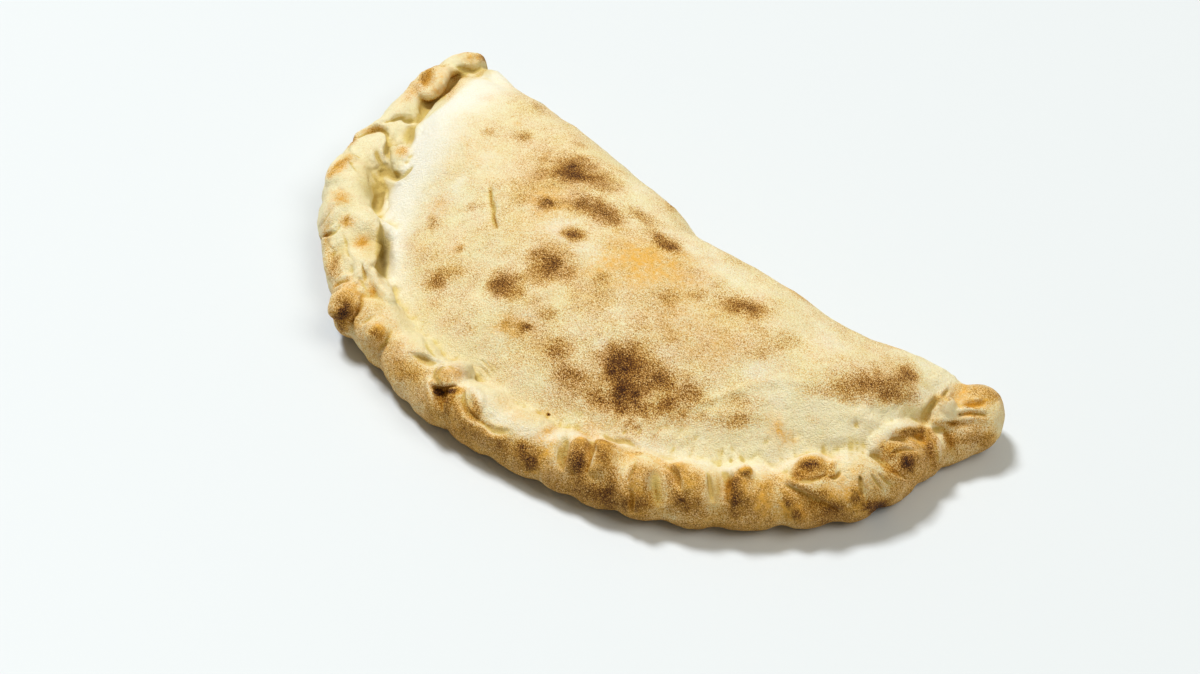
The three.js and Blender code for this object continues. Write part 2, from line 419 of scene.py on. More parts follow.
# Creases: the pixels along the crease, its width and depth in millimetres.
CREASES = [
    # left tip
    (
        [(469, 74), (460, 76), (454, 82), (450, 90), (444, 97), (434, 101), (425, 106), (419, 116)],
        2.4,
        5.5,
    ),
    ([(430, 70), (426, 78), (424, 87)], 1.9, 2.6),
    ([(455, 67), (466, 70), (477, 70), (486, 64)], 1.0, 2.6),
    ([(414, 121), (408, 122), (402, 121)], 0.9, 2.2),
    ([(413, 127), (410, 137), (406, 146)], 1.5, 4.2),
    # left rim
    ([(391, 137), (388, 149), (389, 162)], 1.2, 4.2),
    ([(376, 149), (379, 158), (385, 168)], 1.0, 2.6),
    ([(385, 166), (390, 175), (398, 178), (406, 173), (413, 165)], 1.1, 3.4),
    ([(371, 167), (376, 181), (379, 195), (374, 211)], 4.2, 2.6),
    ([(383, 192), (378, 203), (373, 216)], 1.2, 4.6),
    ([(321, 242), (332, 233), (342, 224)], 0.9, 1.8),
    ([(351, 212), (346, 221), (344, 231)], 0.6, 1.2),
    ([(341, 230), (346, 242), (347, 252), (354, 262)], 0.5, 1.4),
    ([(382, 224), (382, 243), (382, 260), (385, 277), (392, 294)], 2.1, 5.5),
    ([(362, 262), (364, 274), (364, 286)], 0.5, 1.8),
    ([(355, 277), (362, 282), (369, 295)], 0.6, 1.6),
    ([(350, 281), (341, 282), (334, 287)], 1.3, 2.4),
    # front left
    ([(425, 330), (427, 344), (433, 354), (445, 361)], 0.9, 1.0),
    ([(411, 356), (424, 361), (440, 367)], 1.2, 0.7),
    ([(430, 388), (439, 388), (448, 388), (459, 387)], 0.9, 3.0),
    ([(436, 394), (443, 394), (450, 393)], 2.2, 2.6),
    ([(440, 394), (441, 402), (443, 411)], 1.8, 1.3),
    ([(465, 390), (464, 402), (469, 412), (479, 420)], 0.6, 2.8),
    ([(485, 426), (494, 432), (509, 433)], 0.9, 2.4),
    ([(477, 357), (486, 364), (494, 374)], 0.4, 1.3),
    ([(484, 358), (491, 364), (499, 372)], 0.4, 1.0),
    ([(478, 364), (485, 371), (492, 379)], 0.4, 1.0),
    ([(447, 366), (439, 371), (437, 378), (442, 386)], 0.7, 3.0),
    # front pleats
    ([(566, 438), (564, 452), (560, 470)], 2.2, 2.8),
    ([(560, 444), (560, 454), (557, 464)], 0.7, 1.2),
    ([(592, 442), (593, 453), (589, 470)], 1.5, 4.0),
    ([(602, 433), (612, 441), (625, 441), (637, 447)], 0.8, 1.5),
    ([(631, 490), (632, 500), (632, 514)], 0.9, 2.0),
    ([(636, 463), (633, 471), (628, 482)], 0.7, 1.8),
    ([(654, 470), (656, 490), (661, 508)], 3.0, 3.4),
    ([(671, 465), (677, 474), (678, 486)], 1.1, 3.0),
    ([(708, 472), (710, 485), (712, 500)], 0.6, 2.2),
    ([(717, 472), (718, 488), (718, 502)], 4.0, 1.4),
    ([(722, 470), (728, 480), (730, 498)], 1.4, 2.2),
    # right
    ([(796, 496), (810, 502), (826, 508)], 3.0, 0.8),
    ([(786, 474), (800, 481), (815, 480), (828, 475)], 0.7, 2.6),
    ([(826, 478), (835, 478), (841, 471)], 0.6, 1.8),
    ([(847, 432), (849, 445), (853, 459)], 0.7, 2.8),
    ([(855, 434), (857, 446), (857, 458)], 0.6, 2.4),
    ([(865, 442), (863, 452), (860, 461)], 0.6, 2.2),
    ([(836, 438), (842, 447), (849, 458)], 0.5, 1.2),
    ([(858, 466), (861, 488), (863, 514)], 0.6, 2.8),
    ([(864, 480), (866, 494), (866, 510)], 0.5, 1.6),
    ([(866, 466), (874, 480), (885, 493)], 0.5, 1.5),
    ([(872, 468), (883, 479), (898, 490)], 0.5, 1.5),
    ([(866, 470), (870, 484), (877, 500)], 0.4, 0.9),
    ([(868, 455), (879, 461), (892, 469)], 2.2, 2.4),
    ([(884, 459), (893, 453), (905, 450), (920, 452)], 0.6, 1.6),
    ([(884, 441), (898, 440), (912, 442)], 1.3, 1.2),
    ([(926, 429), (935, 443), (938, 458), (936, 473)], 0.7, 1.6),
    # right tip
    ([(943, 399), (934, 403), (929, 409), (926, 417), (927, 426)], 1.0, 3.6),
    ([(930, 406), (924, 414), (919, 424)], 1.8, 1.2),
    ([(951, 388), (945, 394), (947, 400), (958, 405)], 0.6, 2.2),
    ([(960, 406), (972, 405), (986, 402)], 0.9, 1.9),
    ([(960, 415), (974, 414), (988, 416)], 0.7, 1.1),
    ([(942, 421), (949, 423), (960, 424)], 0.5, 1.1),
    ([(943, 428), (949, 440), (951, 455)], 0.8, 1.2),
]

# The slit in the top, in the same form.
SLIT = ([(491, 184), (490, 195), (493, 209), (493, 218), (499, 232)], 0.8, 2.8)

# Long low folds of the top sheet: the pixels along the fold, its width and height in millimetres.
LOW_RIDGES = [
    ([(498, 231), (514, 257), (534, 284)], 1.6, 0.35),
    ([(684, 412), (716, 398), (745, 388), (786, 381), (828, 385)], 1.7, 1.1),
    ([(700, 414), (724, 416), (752, 416)], 2.2, 0.8),
    ([(776, 412), (782, 428), (792, 442)], 2.4, 1.0),
    ([(598, 402), (606, 420), (622, 436)], 2.0, 0.9),
    ([(916, 380), (921, 398), (928, 412)], 1.6, 0.6),
    ([(828, 414), (850, 416), (868, 420), (886, 426), (908, 428), (926, 428)], 2.6, 1.1),
    ([(838, 432), (848, 440), (856, 450)], 1.4, 0.8),
    ([(440, 392), (462, 380), (484, 378)], 2.0, 0.4),
]

# Puffs and dents: the middle's pixel, the radius and the rise in millimetres.
PUFFS = [
    ((907, 463), 3.6, 1.3),
    ((581, 172), 8.0, 0.5),
    ((632, 375), 9.0, 0.5),
    ((880, 382), 9.0, 0.7),
    ((665, 423), 5.0, -0.9),
    ((530, 414), 7.0, 0.6),
    ((620, 425), 5.0, -0.6),
    ((735, 440), 7.0, -0.7),
    ((820, 415), 6.0, 0.5),
    ((870, 434), 10.0, 2.0),
    ((835, 437), 9.0, 1.6),
    ((902, 422), 7.0, 0.8),
    ((440, 394), 2.2, -1.6),
    ((362, 243), 2.2, -0.7),
    ((489, 67), 4.0, -2.6),
    ((494, 62), 4.0, -2.0),
    ((537, 464), 3.0, 0.6),
    ((352, 185), 6.0, 0.8),
]

# Where the top sheet dips under the rolled rim, from the left tip to the right tip.
SEAM = [
    (478, 78), (445, 104), (420, 124), (402, 165), (385, 205), (379, 260), (388, 300), (402, 332),
    (422, 352), (455, 365), (484, 398), (522, 425), (560, 433), (620, 442), (680, 458), (730, 468),
    (790, 460), (850, 452), (900, 426), (928, 412), (936, 398), (955, 384),
]

# ---- Small folds of the whole dough ----

# Bands of the dough: where each starts, is full, begins to fade and ends, as shares of the seam's
# length or as millimetres in from the seam.
LEFT_RIM = (0.02, 0.08, 0.38, 0.46)
PULL_BAND = (-1, 4, 4, 24)
RUMPLE_BAND = (0, 3, 6.4, 16)

# How deep the small folds are and how far apart, in millimetres: those of the left rim, and those
# of the top sheet beside the seam.
CRUMPLE_DEPTH, CRUMPLE_SPACING = 0.5, 10
RUMPLE_DEPTH, RUMPLE_SPACING = 0.5, 5

# The wrinkles that run out of the seam: their depth and length in millimetres, and how many.
PULL_DEPTH = 0.55
PULL_LENGTH = 22
PULL_COUNT = 90

# How strongly the seam wrinkles the top sheet, at shares of the seam's length.
PULLED = [(0, 0), (0.12, 0.1), (0.45, 0.25), (0.55, 0.8), (0.7, 1), (0.9, 1), (1, 0.4)]

# Unevenness of the whole surface: spacing and height in millimetres, from swells to pores.
UNEVENNESS = [(16, 0.7), (7, 0.42), (3.2, 0.26), (1.6, 0.13)]

CAD_SMOOTHING = 1.1  # the radius that rounds off the solid's facets
LAST_SMOOTHING = 0.3
CREASE_PUFF = 0.28  # how far a crease's sides swell, as a share of its depth


def seam_coordinates(points, dough):
    """Distance in plan from the seam, positive on the top sheet, and the share of its length."""
    seam = rounded(dough.seen_at(SEAM))[:, :2]
    steps = np.diff(seam, axis=0)
    inward = steps[:, ::-1] * (-1, 1)
    away, share, beside = follow(seam, points[:, :2].T, inward)
    lengths = np.concatenate([[0], np.cumsum(np.linalg.norm(steps, axis=1))])
    share = np.interp(share * len(steps), np.arange(len(lengths)), lengths / lengths[-1])
    return away * np.sign(beside), share


def folded(noise, sharp=0.1):
    """Turns smooth noise into overlapping folds: a valley along its zeros with one raised side."""
    lip = smooth_step(-0.5 * sharp, sharp, noise) * np.exp(-np.maximum(noise, 0) / 0.3)
    return 0.6 * lip - bell(noise / sharp)


def crumple(dough, rng):
    """Crumples the left rim, and rumples the top sheet and pulls wrinkles into it beside the seam."""
    x, y = np.meshgrid(dough.axes[0], dough.axes[1], indexing="ij")
    columns = np.stack([x.ravel(), y.ravel(), np.zeros(x.size)], 1)
    inward, share = seam_coordinates(columns, dough)
    above = smooth_step(4, 12, dough.axes[2])

    def raised(plan):
        """A form in plan given to the whole grid, fading out towards the underside."""
        return plan.reshape(x.shape)[:, :, None] * above

    rim = plateau(share, *LEFT_RIM) * smooth_step(5, 0, inward)
    crumples = folded(grid_noise(dough.field.shape, CRUMPLE_SPACING / VOXEL, rng))
    margin = plateau(inward, *RUMPLE_BAND) * smooth_step(0.25, 0.4, share)
    rumples = folded(grid_noise(dough.field.shape, RUMPLE_SPACING / VOXEL, rng), 0.35)
    pulled = plateau(inward, *PULL_BAND) * along(PULLED, share)
    lines = np.stack([share * PULL_COUNT, inward / PULL_LENGTH, 0 * share], 1)
    pulled *= folded(point_noise(lines, 1, seed=41), 0.16)
    folds = CRUMPLE_DEPTH * raised(rim) * crumples + RUMPLE_DEPTH * raised(margin) * rumples
    dough.field -= (folds + PULL_DEPTH * raised(pulled)).astype(np.float32)


def shape_dough():
    """The sculpted calzone as a distance field."""
    rng = np.random.default_rng(7)
    dough = Dough(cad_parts["calzone"])
    dough.field = blurred(dough.field, CAD_SMOOTHING)
    for pixels, radius, proud in RIDGES:
        dough.raise_ridge(pixels, radius, proud)
    for pixels, height, width in SHINGLES:
        dough.shingle(pixels, height, width)
    for pixels, width, depth in CREASES:
        dough.carve(pixels, width, depth, CREASE_PUFF)
    for pixel, radius, rise in PUFFS:
        dough.swell(pixel, radius, rise)
    dough.raise_ridge(*CURL, blend=1.0)
    crumple(dough, rng)
    for pixels, width, height in LOW_RIDGES:
        dough.carve(pixels, width, -height)
    dough.carve(*SLIT)
    for spacing, height in UNEVENNESS:
        dough.field += height * grid_noise(dough.field.shape, spacing / VOXEL, rng)
    dough.field = blurred(dough.field, LAST_SMOOTHING)
    return dough


# ---- Browning, orange, and painted shade and highlight, by pixels of the photograph ----

# Scorched and browned marks: the middle's pixel, half sizes in pixels, turn clockwise in degrees,
# and how dark they are, or how pale where negative; two pale ones are painted light.
MARKS = [
    # the top sheet, left
    (432, 219, 6, 9, 0, 0.3), (437, 280, 12, 9, -40, 0.3), (438, 208, 17, 15, -30, 0.13),
    (440, 318, 26, 18, 30, 0.1), (450, 213, 7, 4, 0, 0.13), (452, 272, 14, 6, -10, 0.14),
    (458, 362, 22, 4, 0, -0.2), (460, 248, 5, 4, 0, 0.2), (468, 331, 7, 6, 0, 0.18),
    (474, 207, 12, 4, -10, 0.16), (475, 242, 34, 44, 0, -0.07), (487, 97, 6, 3, 0, 0.14),
    (490, 132, 7, 5, 0, 0.2), (505, 285, 14, 12, -20, 0.5), (508, 324, 8, 7, 0, 0.26),
    (521, 200, 10, 5, 0, 0.24), (523, 328, 7, 6, 0, 0.66), (524, 136, 12, 6, 0, 0.3),
    (532, 300, 9, 5, 0, 0.1), (538, 108, 7, 4, 30, 0.16),
    # the top sheet, middle
    (540, 332, 22, 12, 0, 0.08), (548, 152, 6, 4, 0, 0.2), (549, 203, 9, 6, 0, 0.62),
    (549, 314, 10, 6, 0, 0.22), (551, 263, 22, 18, 0, 0.41), (556, 291, 20, 13, 0, -0.09),
    (559, 352, 19, 15, 0, 0.33), (560, 185, 42, 26, 12, 0.15), (560, 400, 22, 14, 0, 0.12),
    (567, 375, 17, 14, 0, 0.35), (570, 169, 23, 13, 8, 0.49), (574, 233, 14, 7, 10, 0.42),
    (577, 175, 6, 4, 0, 0.2), (579, 145, 10, 3, 25, 0.16), (586, 205, 17, 10, 15, 0.43),
    (594, 178, 26, 9, 15, 0.4), (596, 214, 6, 4, 0, 0.16), (600, 298, 30, 22, 0, 0.1),
    (602, 278, 9, 7, 0, 0.26), (606, 213, 17, 10, 25, 0.43), (612, 404, 26, 11, 0, 0.32),
    (617, 248, 9, 5, 0, 0.1), (620, 375, 24, 28, 0, 0.53), (622, 388, 14, 12, 0, 0.24),
    (628, 400, 24, 17, 0, 0.4), (630, 356, 27, 15, 0, 0.38), (638, 386, 58, 50, 0, 0.36),
    (640, 306, 62, 36, 15, 0.09), (641, 216, 19, 5, 30, 0.36), (642, 410, 38, 17, 0, 0.42),
    (650, 262, 40, 22, 15, 0.08), (650, 372, 22, 18, 0, 0.36), (655, 234, 12, 5, 15, 0.26),
    (664, 374, 20, 18, 0, 0.34), (665, 296, 18, 9, 10, 0.28), (666, 243, 15, 8, 20, 0.46),
    (672, 205, 6, 5, 40, 0.24), (672, 408, 26, 9, 10, 0.26), (676, 390, 26, 18, 20, 0.36),
    (691, 272, 5, 3, 0, 0.18), (696, 295, 12, 6, 0, 0.22), (700, 400, 14, 6, 10, 0.16),
    (701, 415, 20, 8, -20, 0.16), (716, 317, 12, 6, 0, 0.16), (719, 286, 8, 5, 0, 0.22),
    # the top sheet, right
    (720, 352, 50, 34, 10, 0.1), (723, 330, 12, 6, 0, 0.12), (735, 420, 24, 9, 0, 0.24),
    (738, 402, 20, 9, 0, 0.2), (742, 307, 24, 10, 8, 0.46), (754, 314, 15, 6, 10, 0.18),
    (757, 331, 12, 6, 0, 0.14), (760, 352, 16, 11, 0, 0.22), (779, 348, 6, 4, 0, 0.22),
    (784, 340, 12, 10, 0, 0.15), (800, 295, 12, 5, 35, 0.18), (809, 389, 12, 6, 0, 0.12),
    (812, 449, 28, 4, -3, -0.26), (816, 420, 10, 8, 0, 0.14), (850, 389, 14, 16, 0, 0.26),
    # The pale mark at (852, 424) is painted light on the sheet's shaded slope beside the right tip.
    (852, 424, 36, 16, 8, -0.28), (868, 386, 33, 17, 0, 0.42), (893, 395, 15, 8, 0, 0.32),
    (895, 346, 7, 2, 15, 0.24), (896, 382, 25, 19, 0, 0.39), (908, 374, 10, 11, 0, 0.4),
    (912, 388, 9, 15, 0, 0.28),
    # the left tip
    (395, 113, 8, 7, -30, -0.1), (408, 97, 9, 5, -50, 0.16), (416, 88, 6, 8, 30, 0.14),
    (427, 77, 6, 10, 25, 0.36), (444, 79, 8, 13, 20, -0.16), (450, 92, 7, 9, 20, 0.2),
    (456, 57, 9, 6, -20, -0.2), (457, 78, 8, 5, 0, 0.2), (460, 49, 12, 3, 0, 0.3),
    (482, 57, 5, 4, 30, 0.42),
    # the left rim
    (326, 240, 5, 22, 0, 0.2), (331, 262, 7, 18, 0, 0.3), (335, 268, 7, 10, 20, 0.3),
    (338, 167, 13, 4, -40, 0.3), (341, 197, 8, 5, 10, 0.16), (342, 316, 13, 19, 0, 0.5),
    (346, 304, 16, 21, 0, 0.34), (348, 221, 8, 6, 0, 0.24), (351, 139, 6, 7, 20, 0.36),
    (361, 242, 6, 6, 0, 0.26), (372, 131, 9, 4, -15, 0.16), (372, 290, 4, 6, 0, 0.3),
    (374, 128, 12, 4, -15, 0.12), (376, 160, 6, 9, 0, -0.1), (376, 333, 8, 8, 0, 0.42),
    (396, 160, 6, 7, 0, -0.1), (403, 151, 6, 5, 0, 0.24),
    # the front of the roll
    (394, 346, 9, 6, 20, 0.16), (402, 368, 24, 11, 40, 0.2), (444, 399, 9, 8, 10, 0.24),
    (450, 417, 20, 6, 35, 0.08), (451, 391, 11, 4, -5, 0.5), (455, 372, 10, 7, -10, 0.32),
    (476, 402, 4, 11, -15, 0.26), (478, 437, 18, 7, 32, 0.04), (495, 447, 16, 8, 20, 0.14),
    (522, 446, 9, 6, 0, 0.22), (531, 452, 14, 10, 20, 0.26), (532, 461, 7, 10, 0, 0.3),
    (546, 432, 10, 4, -25, 0.26), (556, 450, 9, 16, 10, -0.18), (579, 440, 6, 5, 0, 0.16),
    (579, 456, 9, 19, 5, 0.36), (580, 464, 10, 15, 5, 0.12), (600, 490, 18, 8, 30, 0.12),
    (603, 455, 7, 13, -15, 0.18), (609, 497, 12, 16, -15, 0.22), (622, 456, 12, 14, 0, -0.14),
    (624, 470, 8, 14, 10, -0.14), (640, 462, 14, 6, 10, -0.16), (643, 500, 16, 12, 0, 0.16),
    (658, 490, 8, 19, -8, -0.26), (662, 460, 40, 5, 5, -0.15), (684, 501, 14, 12, 0, 0.34),
    (690, 480, 9, 7, 0, 0.12), (712, 488, 10, 24, 0, -0.3), (720, 521, 40, 4, 3, -0.16),
    (733, 487, 6, 10, 0, 0.32), (737, 502, 11, 15, 0, 0.3), (742, 480, 10, 8, 0, 0.2),
    (750, 498, 9, 18, 0, 0.12), (763, 476, 12, 5, 5, -0.18), (765, 498, 9, 15, 0, 0.1),
    # right of the front
    (787, 504, 7, 7, 0, 0.2), (788, 470, 8, 12, 0, -0.24), (795, 513, 6, 6, 0, 0.16),
    (800, 473, 10, 6, 0, 0.12), (809, 464, 18, 9, -8, 0.24), (812, 505, 26, 11, 25, 0.06),
    (815, 485, 20, 5, 5, -0.2), (825, 489, 9, 6, 0, 0.14), (831, 475, 7, 4, 0, 0.14),
    (838, 510, 14, 7, 5, 0.2), (843, 468, 10, 13, 0, -0.26), (855, 497, 5, 9, 0, 0.26),
    (868, 478, 10, 16, 0, -0.16), (876, 506, 11, 7, -10, 0.4), (878, 484, 16, 8, 35, -0.12),
    (889, 444, 14, 7, -20, 0.24), (890, 456, 12, 4, -10, 0.14), (893, 471, 9, 6, -20, 0.2),
    (905, 459, 18, 10, 0, 0.1), (907, 463, 9, 9, 0, 0.6), (908, 433, 15, 5, 5, 0.3),
    (921, 431, 4, 5, 0, 0.26),
    # the right tip
    (929, 446, 5, 14, -15, 0.32), (940, 444, 5, 14, -10, -0.2), (944, 410, 15, 9, 0, -0.34),
    (949, 439, 5, 8, -20, 0.24), (958, 446, 7, 6, 0, -0.1), (960, 425, 14, 4, 5, 0.24),
    (968, 438, 16, 7, -8, 0.2), (972, 414, 8, 2.5, 5, 0.2), (974, 405, 9, 2.5, -5, 0.36),
    (978, 391, 18, 7, 5, 0.16), (985, 440, 8, 6, -20, 0.2), (992, 396, 8, 6, 30, 0.2),
    # The pale mark at (1000, 417) is painted light on the right tip's end.
    (1000, 417, 8, 15, 0, -0.2),
]

# Marks with crisp edges, in the same form: the slit, whose dark line is painted shade in the crack, the
# hole, dark partly from char and partly as painted shade, the nub and a burnt crumb.
CRISP_MARKS = [
    (491, 199, 1.0, 12, -3, 0.34),
    (495, 219, 1.0, 11, -14, 0.3),
    (438, 392, 6, 4, 12, 0.56),
    (745, 471, 9, 4, 0, 0.22),
    (548.5, 414.5, 1.5, 1.5, 0, 1.0),
]

# Lines of browning in grooves and along edges, or, where negative, pale lines along lit fold edges,
# partly
# flour and partly painted highlight: the pixels along the line, its half width in millimetres, and how
# strong.
STROKES = [
    # left tip and rim
    ([(428, 68), (442, 66), (457, 66)], 0.5, 0.3),
    ([(423, 70), (422, 78), (424, 86)], 0.5, 0.24),
    ([(330, 180), (335, 168), (346, 159), (353, 158)], 0.9, 0.3),
    ([(368, 132), (376, 129), (387, 131)], 0.8, 0.1),
    ([(335, 205), (347, 210), (362, 216), (375, 222)], 0.7, -0.15),
    ([(363, 264), (365, 272), (366, 282)], 0.5, 0.24),
    # front left
    ([(411, 354), (425, 356), (437, 361), (447, 366)], 0.7, -0.24),
    ([(440, 367), (431, 376), (428, 386), (432, 398), (434, 411)], 0.7, -0.22),
    ([(459, 388), (455, 400), (449, 412)], 0.6, -0.2),
    ([(457, 398), (464, 416), (474, 423), (486, 428), (495, 434), (512, 434)], 0.7, -0.26),
    # front pleats
    ([(568, 441), (566, 458)], 0.5, -0.16),
    ([(597, 443), (593, 458), (590, 470)], 0.5, -0.2),
    ([(681, 470), (683, 480), (682, 490)], 0.5, -0.12),
    ([(716, 474), (716, 488), (716, 500)], 1.2, -0.12),
    # right
    ([(784, 482), (798, 489), (813, 497), (828, 504)], 0.7, -0.26),
    ([(794, 480), (806, 482), (818, 481), (828, 478)], 0.5, -0.16),
    ([(859, 459), (870, 465), (881, 471), (898, 479)], 0.7, -0.2),
    ([(862, 480), (864, 495), (864, 508)], 0.4, -0.12),
    ([(902, 450), (912, 450), (921, 452)], 0.6, -0.16),
    ([(935, 434), (940, 446), (941, 458), (936, 470)], 1.0, -0.14),
    ([(880, 425), (903, 425), (925, 426), (944, 427)], 1.0, -0.26),
    ([(958, 410), (969, 409), (983, 411)], 0.4, -0.2),
    ([(957, 419), (970, 418), (984, 421)], 0.4, -0.2),
]

# Olive shade in the hollows, in the same form as the marks.
SHADES = [
    # the top sheet, left
    (381, 248, 5, 24, 0, 0.95), (385, 252, 7, 24, 0, 0.6), (430, 345, 15, 12, 30, 0.25),
    (493, 369, 6, 5, 35, 0.3),
    # the top sheet, middle
    (616, 440, 12, 3, 5, 0.4),
    # the top sheet, right
    (851, 447, 4, 9, 0, 0.6), (860, 446, 7, 10, 0, 0.3), (909, 412, 11, 7, 0, 0.35),
    (925, 385, 10, 4, 30, 0.3),
    # the left tip
    (419, 117, 3, 5, 0, 0.6), (423, 106, 6, 7, 30, 0.6), (428, 78, 4, 9, 20, 0.6),
    (436, 100, 12, 3, -5, 0.7), (451, 88, 5, 10, 20, 0.8), (459, 75, 8, 5, 0, 0.9),
    (483, 70, 12, 6, -15, 0.4),
    # the left rim
    (341, 250, 7, 9, 0, 0.3), (344, 200, 9, 7, 0, 0.25), (347, 158, 7, 4, -20, 0.3),
    (354, 239, 6, 9, 0, 0.22), (360, 310, 3, 9, 10, 0.4), (370, 243, 6, 18, 0, 0.25),
    (371, 188, 12, 26, -15, 0.3), (375, 207, 4, 10, 20, 0.6), (379, 306, 3, 7, -10, 0.3),
    (389, 148, 4, 12, 10, 0.6), (397, 175, 9, 4, 10, 0.6), (408, 136, 6, 9, 35, 0.6),
    # the front of the roll
    (424, 359, 14, 6, 22, 0.3), (438, 378, 4, 8, 0, 0.5), (454, 399, 4, 9, 20, 0.4),
    (470, 406, 4, 14, -15, 0.3), (498, 429, 12, 4, 15, 0.5), (563, 454, 4, 16, 10, 0.6),
    (592, 450, 3, 8, 10, 0.6), (634, 470, 2, 10, 15, 0.5), (657, 489, 7, 21, -6, 0.72),
    (675, 476, 4, 10, -15, 0.5), (714, 492, 9, 22, 0, 0.45), (731, 490, 3, 14, 0, 0.5),
    # right of the front
    (802, 473, 13, 7, -5, 0.5), (803, 479, 14, 2, 3, 0.7), (806, 507, 12, 10, 40, 0.4),
    (862, 490, 3, 18, 0, 0.4), (874, 484, 9, 14, 0, 0.25), (890, 448, 10, 7, 0, 0.4),
    # the right tip
    (925, 415, 5, 11, 15, 0.5), (938, 398, 9, 4, 0, 0.5), (951, 443, 6, 12, -10, 0.5),
]

# Orange patches, in the same form as the marks.
GLOWS = [
    # the top sheet, left
    (419, 248, 6, 4, 0, 0.3), (437, 205, 14, 9, -20, 0.5), (438, 208, 14, 10, -20, 0.5),
    (458, 246, 6, 4, 0, 0.4), (480, 160, 40, 20, 0, 0.25), (487, 97, 7, 4, 0, 0.5),
    (505, 405, 14, 8, 20, 0.4), (510, 327, 16, 10, 0, 0.7), (516, 124, 5, 3, 0, 0.5),
    (516, 414, 17, 7, 12, 0.55),
    # the top sheet, middle
    (540, 415, 14, 6, 0, 0.4), (549, 203, 17, 11, 0, 1.0), (560, 232, 44, 20, 15, 0.25),
    (600, 262, 20, 9, 0, 0.3), (600, 427, 16, 6, 8, 0.5), (620, 259, 16, 9, 10, 0.3),
    (640, 266, 50, 23, 12, 0.95), (690, 320, 60, 24, 15, 0.25),
    # the top sheet, right
    (720, 350, 30, 16, 0, 0.3), (779, 430, 9, 15, -15, 0.9), (789, 437, 8, 9, 0, 0.7),
    (790, 288, 12, 4, 30, 0.4), (808, 457, 16, 4, -5, 0.5), (895, 346, 9, 3, 15, 0.7),
    # the left tip
    (410, 92, 14, 7, -40, 0.4), (427, 78, 6, 10, 25, 0.5), (441, 78, 6, 12, 0, 0.5),
    (441, 82, 12, 13, 0, 0.8), (441, 93, 12, 6, 0, 0.5), (448, 76, 6, 10, 0, 0.5),
    (460, 49, 9, 3, 0, 0.5), (460, 50, 12, 5, 0, 0.5), (470, 56, 9, 6, 10, 0.7),
    # the left rim
    (328, 236, 5, 14, 0, 0.6), (330, 207, 5, 12, 0, 0.45), (339, 166, 14, 5, -40, 0.8),
    (341, 197, 9, 7, 0, 0.8), (348, 222, 8, 7, 0, 0.6), (352, 137, 8, 5, -30, 0.6),
    (352, 290, 12, 8, 20, 0.6), (362, 242, 8, 8, 0, 0.7), (371, 130, 14, 4, -10, 0.7),
    (371, 289, 5, 7, 0, 0.6), (380, 330, 7, 7, 0, 0.7), (401, 152, 7, 5, 0, 0.6),
    # the front of the roll
    (451, 391, 9, 4, 0, 0.9), (457, 371, 13, 9, 0, 0.7), (536, 466, 9, 8, 0, 0.5),
    (546, 432, 13, 6, -25, 0.7), (547, 449, 10, 14, 0, 0.55), (581, 438, 9, 5, 0, 0.5),
    (600, 440, 16, 5, 10, 0.4), (630, 456, 7, 4, 0, 0.5), (636, 494, 7, 17, 0, 0.6),
    (659, 461, 7, 5, 0, 0.6), (677, 465, 10, 5, 0, 0.6), (690, 480, 9, 8, 0, 0.6),
    (737, 494, 9, 15, 0, 0.5), (745, 470, 8, 4, 0, 0.8), (765, 497, 9, 18, 0, 0.7),
    # right of the front
    (785, 510, 16, 12, 30, 0.6), (786, 506, 12, 9, 0, 0.5), (828, 462, 10, 7, 0, 0.6),
    (838, 460, 6, 6, 0, 0.5), (838, 488, 12, 9, 0, 0.5), (842, 484, 10, 14, 0, 0.3),
    (850, 490, 12, 16, 0, 0.5), (870, 508, 16, 6, -10, 0.4), (880, 440, 7, 6, 0, 0.5),
    (921, 440, 7, 6, 0, 0.8),
    # the right tip
    (962, 392, 9, 9, 0, 0.5), (966, 414, 7, 4, 0, 0.5), (975, 403, 14, 5, 0, 1.0),
]

# Where a mark starts and is full, as shares of its half size.
SOFT_EDGE = (1.7, 0.0)
CRISP_EDGE = (1.3, 0.6)

MARK_BLEND = 2.2  # 1 adds overlapping marks up, and a high number takes the strongest
MARK_END = 3.2  # how far a mark goes on round the dough's curve, in half sizes
MARK_SPARE = 2  # millimetres added to the half size for that, which small marks need
PX_PER_MM = FOCAL_PX / DISTANCE

# Spots on the back of the fold: how many, how far to both sides of the middle, and the least and
# most of their height, radius and strength, in millimetres and shares of browning.
BACK_SPOTS = 14
BACK_REACH = 115
BACK_HEIGHTS = (6, 20)
BACK_RADII = (4, 9)
BACK_STRENGTHS = (0.15, 0.4)


def marked(marks, surface, ripple, edge=SOFT_EDGE):
    """How strongly ragged ellipses, given by pixels of the photograph, mark each point."""
    pixels = pixels_of(surface.points)
    centres = surface.dough.seen_at([mark[:2] for mark in marks])
    total = np.zeros(len(surface.points))
    for (x, y, half_x, half_y, turn, strength), centre in zip(marks, centres):
        reach = max(half_x, half_y) / PX_PER_MM
        gap = np.linalg.norm(surface.points - centre, axis=1)
        fade = np.clip(MARK_END - gap / (reach + MARK_SPARE), 0, 1)
        near = fade > 0
        dx, dy = (pixels[near] - (x, y)).T
        cos, sin = math.cos(math.radians(turn)), math.sin(math.radians(turn))
        lengthwise = (dx * cos + dy * sin) / half_x
        crosswise = (dy * cos - dx * sin) / half_y
        raggedness = 0.5 * min(1, reach / 4)
        radius = np.hypot(lengthwise, crosswise) + raggedness * ripple[near]
        share = fade[near] * smooth_step(*edge, radius)
        total[near] += np.sign(strength) * (abs(strength) * share) ** MARK_BLEND
    return np.sign(total) * np.abs(total) ** (1 / MARK_BLEND)


